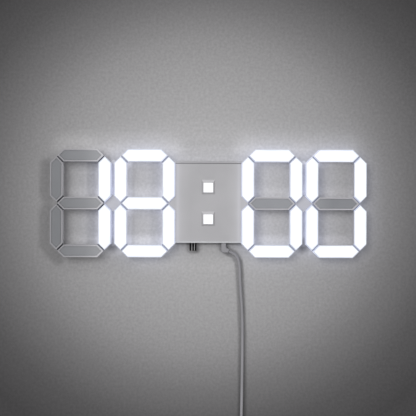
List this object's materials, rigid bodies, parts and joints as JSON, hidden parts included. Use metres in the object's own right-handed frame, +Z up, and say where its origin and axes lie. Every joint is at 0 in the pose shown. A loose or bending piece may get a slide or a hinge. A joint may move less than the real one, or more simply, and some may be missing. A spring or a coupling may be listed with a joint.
{
  "type": "digital wall clock",
  "caption": "Wide wall clock of large open seven-segment digits on a hidden rail, with a centre body, a colon, buttons below and a power lead.",
  "frame": {"origin": "on the wall face of the centre body's rear cover, level with the middle segments and halfway along the clock", "axes": "+X to the right along the clock, +Z up, +Y into the wall, so the digits face -Y"},
  "size_m": [0.4752, 0.02, 0.5158],
  "materials": {
    "white_housing": "fine satin texture",
    "grey_cover": "fine satin texture",
    "lit_diffuser": "satin, lit from behind",
    "unlit_diffuser": "satin",
    "circuit_board": "lacquered",
    "black_plastic": "satin",
    "white_cord": "satin",
    "steel": "nickel plated",
    "zinc_screw": "zinc plated"
  },
  "bodies": {
    "clock_body": {"digit_1_shell": "white_housing", "digit_1_back_cover": "grey_cover", "digit_1_led_board": "circuit_board", "digit_1_segment_a": "unlit_diffuser", "digit_1_segment_b": "lit_diffuser", "digit_1_segment_c": "lit_diffuser", "digit_1_segment_d": "unlit_diffuser", "digit_1_segment_e": "unlit_diffuser", "digit_1_segment_f": "unlit_diffuser", "digit_1_segment_g": "unlit_diffuser", "digit_2_shell": "white_housing", "digit_2_back_cover": "grey_cover", "digit_2_led_board": "circuit_board", "digit_2_segment_a": "lit_diffuser", "digit_2_segment_b": "lit_diffuser", "digit_2_segment_c": "lit_diffuser", "digit_2_segment_d": "lit_diffuser", "digit_2_segment_e": "lit_diffuser", "digit_2_segment_f": "lit_diffuser", "digit_2_segment_g": "lit_diffuser", "digit_3_shell": "white_housing", "digit_3_back_cover": "grey_cover", "digit_3_led_board": "circuit_board", "digit_3_segment_a": "lit_diffuser", "digit_3_segment_b": "lit_diffuser", "digit_3_segment_c": "lit_diffuser", "digit_3_segment_d": "lit_diffuser", "digit_3_segment_e": "lit_diffuser", "digit_3_segment_f": "lit_diffuser", "digit_3_segment_g": "unlit_diffuser", "digit_4_shell": "white_housing", "digit_4_back_cover": "grey_cover", "digit_4_led_board": "circuit_board", "digit_4_segment_a": "lit_diffuser", "digit_4_segment_b": "lit_diffuser", "digit_4_segment_c": "lit_diffuser", "digit_4_segment_d": "lit_diffuser", "digit_4_segment_e": "lit_diffuser", "digit_4_segment_f": "lit_diffuser", "digit_4_segment_g": "unlit_diffuser", "mounting_rail": "white_housing", "wiring_loom": "white_cord", "centre_front_cover": "white_housing", "centre_rear_cover": "grey_cover", "colon_diffuser": "lit_diffuser", "main_board": "circuit_board", "coin_cell": "steel", "power_socket": "black_plastic", "cover_screw_1": "zinc_screw", "cover_screw_2": "zinc_screw", "cover_screw_3": "zinc_screw", "cover_screw_4": "zinc_screw"},
    "left_button": {"button_left": "black_plastic"},
    "middle_button": {"button_middle": "black_plastic"},
    "right_button": {"button_right": "black_plastic"},
    "power_lead": {"power_plug": "white_cord", "cord_run": "white_cord", "cord_coil": "white_cord", "far_plug": "white_cord", "cord_tie": "white_cord"}
  },
  "joints": [
    {"name": "press_left", "type": "slide", "parent": "clock_body", "child": "left_button", "axis": [0, 0, 1], "range_m": [0, 0.001], "stiffness_N_per_m": 600, "springref_m": -0.0006},
    {"name": "press_middle", "type": "slide", "parent": "clock_body", "child": "middle_button", "axis": [0, 0, 1], "range_m": [0, 0.001], "stiffness_N_per_m": 600, "springref_m": -0.0006},
    {"name": "press_right", "type": "slide", "parent": "clock_body", "child": "right_button", "axis": [0, 0, 1], "range_m": [0, 0.001], "stiffness_N_per_m": 600, "springref_m": -0.0006},
    {"name": "lead_pull", "type": "slide", "parent": "clock_body", "child": "power_lead", "axis": [0, 0, -1], "range_m": [0, 0.012]}
  ]
}
